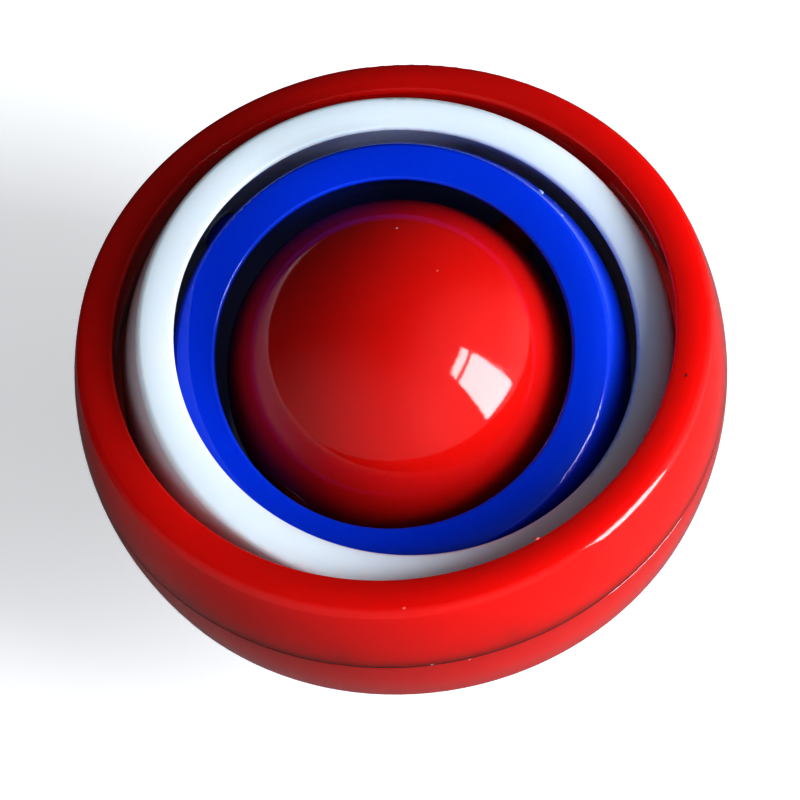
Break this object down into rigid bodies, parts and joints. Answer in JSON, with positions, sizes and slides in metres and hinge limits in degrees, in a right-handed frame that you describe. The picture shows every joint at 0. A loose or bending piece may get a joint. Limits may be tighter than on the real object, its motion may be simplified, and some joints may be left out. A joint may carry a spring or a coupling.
{
  "type": "gimbal fidget spinner",
  "caption": "Gimbal fidget spinner: nested red, white and blue rings turn on crossed pivots around a glossy red ball that is pinched between finger and thumb.",
  "frame": {"origin": "common centre of the rings, the ball and all the pivots", "axes": "+Z along the outer ring's axis, +X along the pivot axis between the outer and the middle ring"},
  "size_m": [0.055, 0.055, 0.0294],
  "materials": {
    "red_plastic": "glossy moulded ABS",
    "white_plastic": "glossy moulded ABS",
    "blue_plastic": "glossy moulded ABS",
    "pin_steel": "bright turned steel",
    "bush_acetal": "natural acetal"
  },
  "bodies": {
    "ball": {"ball_upper_shell": "red_plastic", "ball_lower_shell": "red_plastic", "ball_pivot_pin_front": "pin_steel", "ball_pivot_pin_back": "pin_steel"},
    "outer_ring": {"outer_ring_upper_half": "red_plastic", "outer_ring_lower_half": "red_plastic", "outer_pivot_bush_front": "bush_acetal", "outer_pivot_bush_back": "bush_acetal"},
    "middle_ring": {"middle_ring_upper_half": "white_plastic", "middle_ring_lower_half": "white_plastic", "outer_pivot_pin_front": "pin_steel", "outer_pivot_pin_back": "pin_steel", "middle_pivot_bush_front": "bush_acetal", "middle_pivot_bush_back": "bush_acetal"},
    "inner_ring": {"inner_ring_upper_half": "blue_plastic", "inner_ring_lower_half": "blue_plastic", "middle_pivot_pin_front": "pin_steel", "middle_pivot_pin_back": "pin_steel", "ball_pivot_bush_front": "bush_acetal", "ball_pivot_bush_back": "bush_acetal"}
  },
  "joints": [
    {"name": "inner_ring_turn", "type": "hinge", "parent": "ball", "child": "inner_ring", "pos_m": [0, 0, 0], "axis": [0.9755, -0.0408, 0.216], "continuous": true},
    {"name": "middle_ring_turn", "type": "hinge", "parent": "inner_ring", "child": "middle_ring", "pos_m": [0, 0, 0], "axis": [0, 0.9826, 0.1857], "continuous": true},
    {"name": "outer_ring_turn", "type": "hinge", "parent": "middle_ring", "child": "outer_ring", "pos_m": [0, 0, 0], "axis": [1, 0, 0], "continuous": true}
  ]
}
